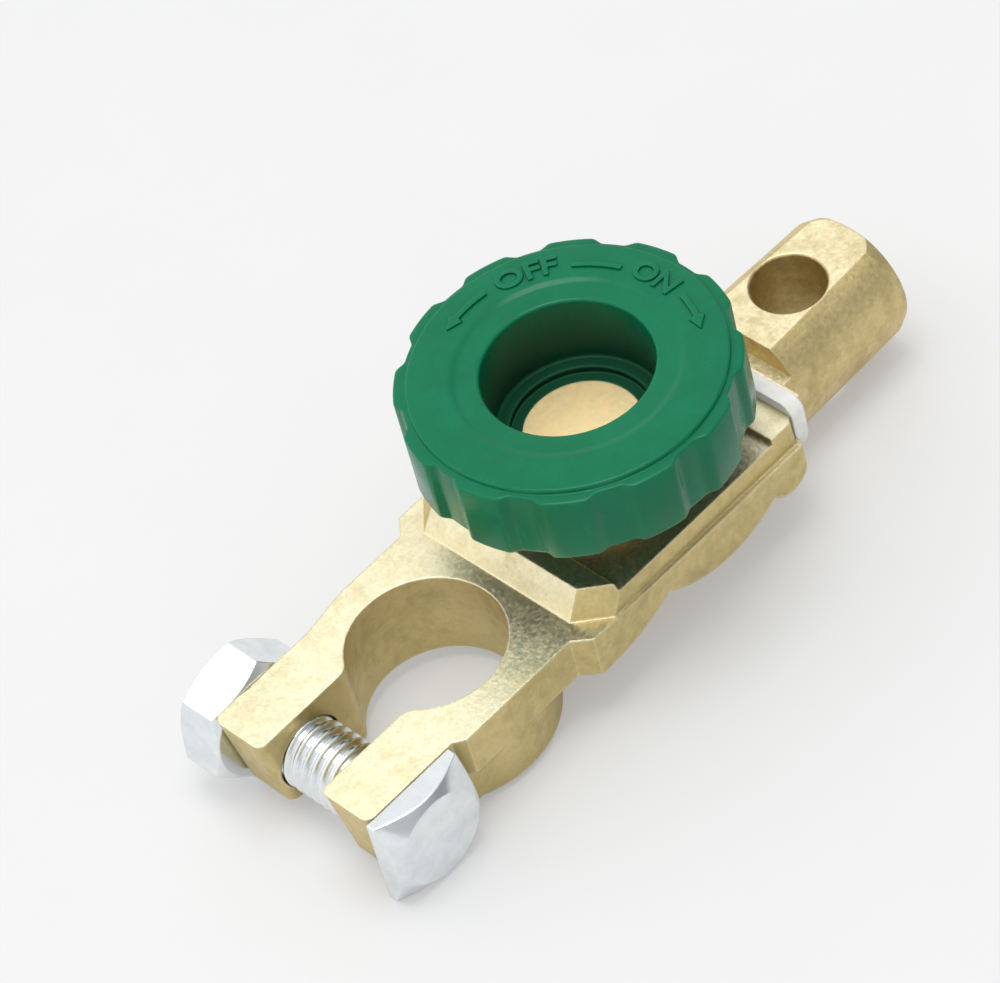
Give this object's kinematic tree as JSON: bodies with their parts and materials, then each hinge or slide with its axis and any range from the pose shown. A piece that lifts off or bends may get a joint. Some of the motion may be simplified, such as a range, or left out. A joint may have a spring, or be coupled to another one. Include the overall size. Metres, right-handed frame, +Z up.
{
  "type": "battery terminal disconnect switch",
  "caption": "Battery post clamp with a screw-down knob that presses a brass foot onto an insulated tongue to join the clamp to the cable post.",
  "frame": {"origin": "on the axis of the battery post bore, at the underside of the clamp ring", "axes": "+X along the body towards the cable post, +Y towards the clamp nut, +Z up along the bore and knob axes"},
  "size_m": [0.0866, 0.0366, 0.0312],
  "materials": {
    "cast_brass": "as cast, lightly tarnished",
    "turned_brass": "turned",
    "green_plastic": "glossy moulding",
    "white_nylon": "satin moulding",
    "plated_steel": "bright zinc plate"
  },
  "bodies": {
    "body": {"clamp_body": "cast_brass", "cable_post": "cast_brass", "insulator_sleeve": "white_nylon", "retaining_dowel": "white_nylon"},
    "foot": {"contact_foot": "turned_brass"},
    "knob": {"switch_knob": "green_plastic", "knob_stud": "turned_brass"},
    "bolt": {"clamp_bolt": "plated_steel"},
    "nut": {"clamp_nut": "plated_steel"}
  },
  "joints": [
    {"name": "foot_lift", "type": "slide", "parent": "body", "child": "foot", "axis": [0, 0, 1], "range_m": [0, 0.00225]},
    {"name": "knob_turn", "type": "hinge", "parent": "foot", "child": "knob", "pos_m": [0.0255, 0, 0.0199], "axis": [0, 0, 1], "range_deg": [0, 540]},
    {"name": "nut_turn", "type": "hinge", "parent": "body", "child": "nut", "pos_m": [-0.014, 0.011, 0.005], "axis": [0, 1, 0], "range_deg": [0, 1080]},
    {"name": "bolt_travel", "type": "slide", "parent": "body", "child": "bolt", "axis": [0, -1, 0], "range_m": [0, 0.00375]}
  ],
  "couplings": [
    {"joint": "foot_lift", "follows": "knob_turn", "m_per_rad": 0.00023873},
    {"joint": "bolt_travel", "follows": "nut_turn", "m_per_rad": 0.00019894}
  ]
}
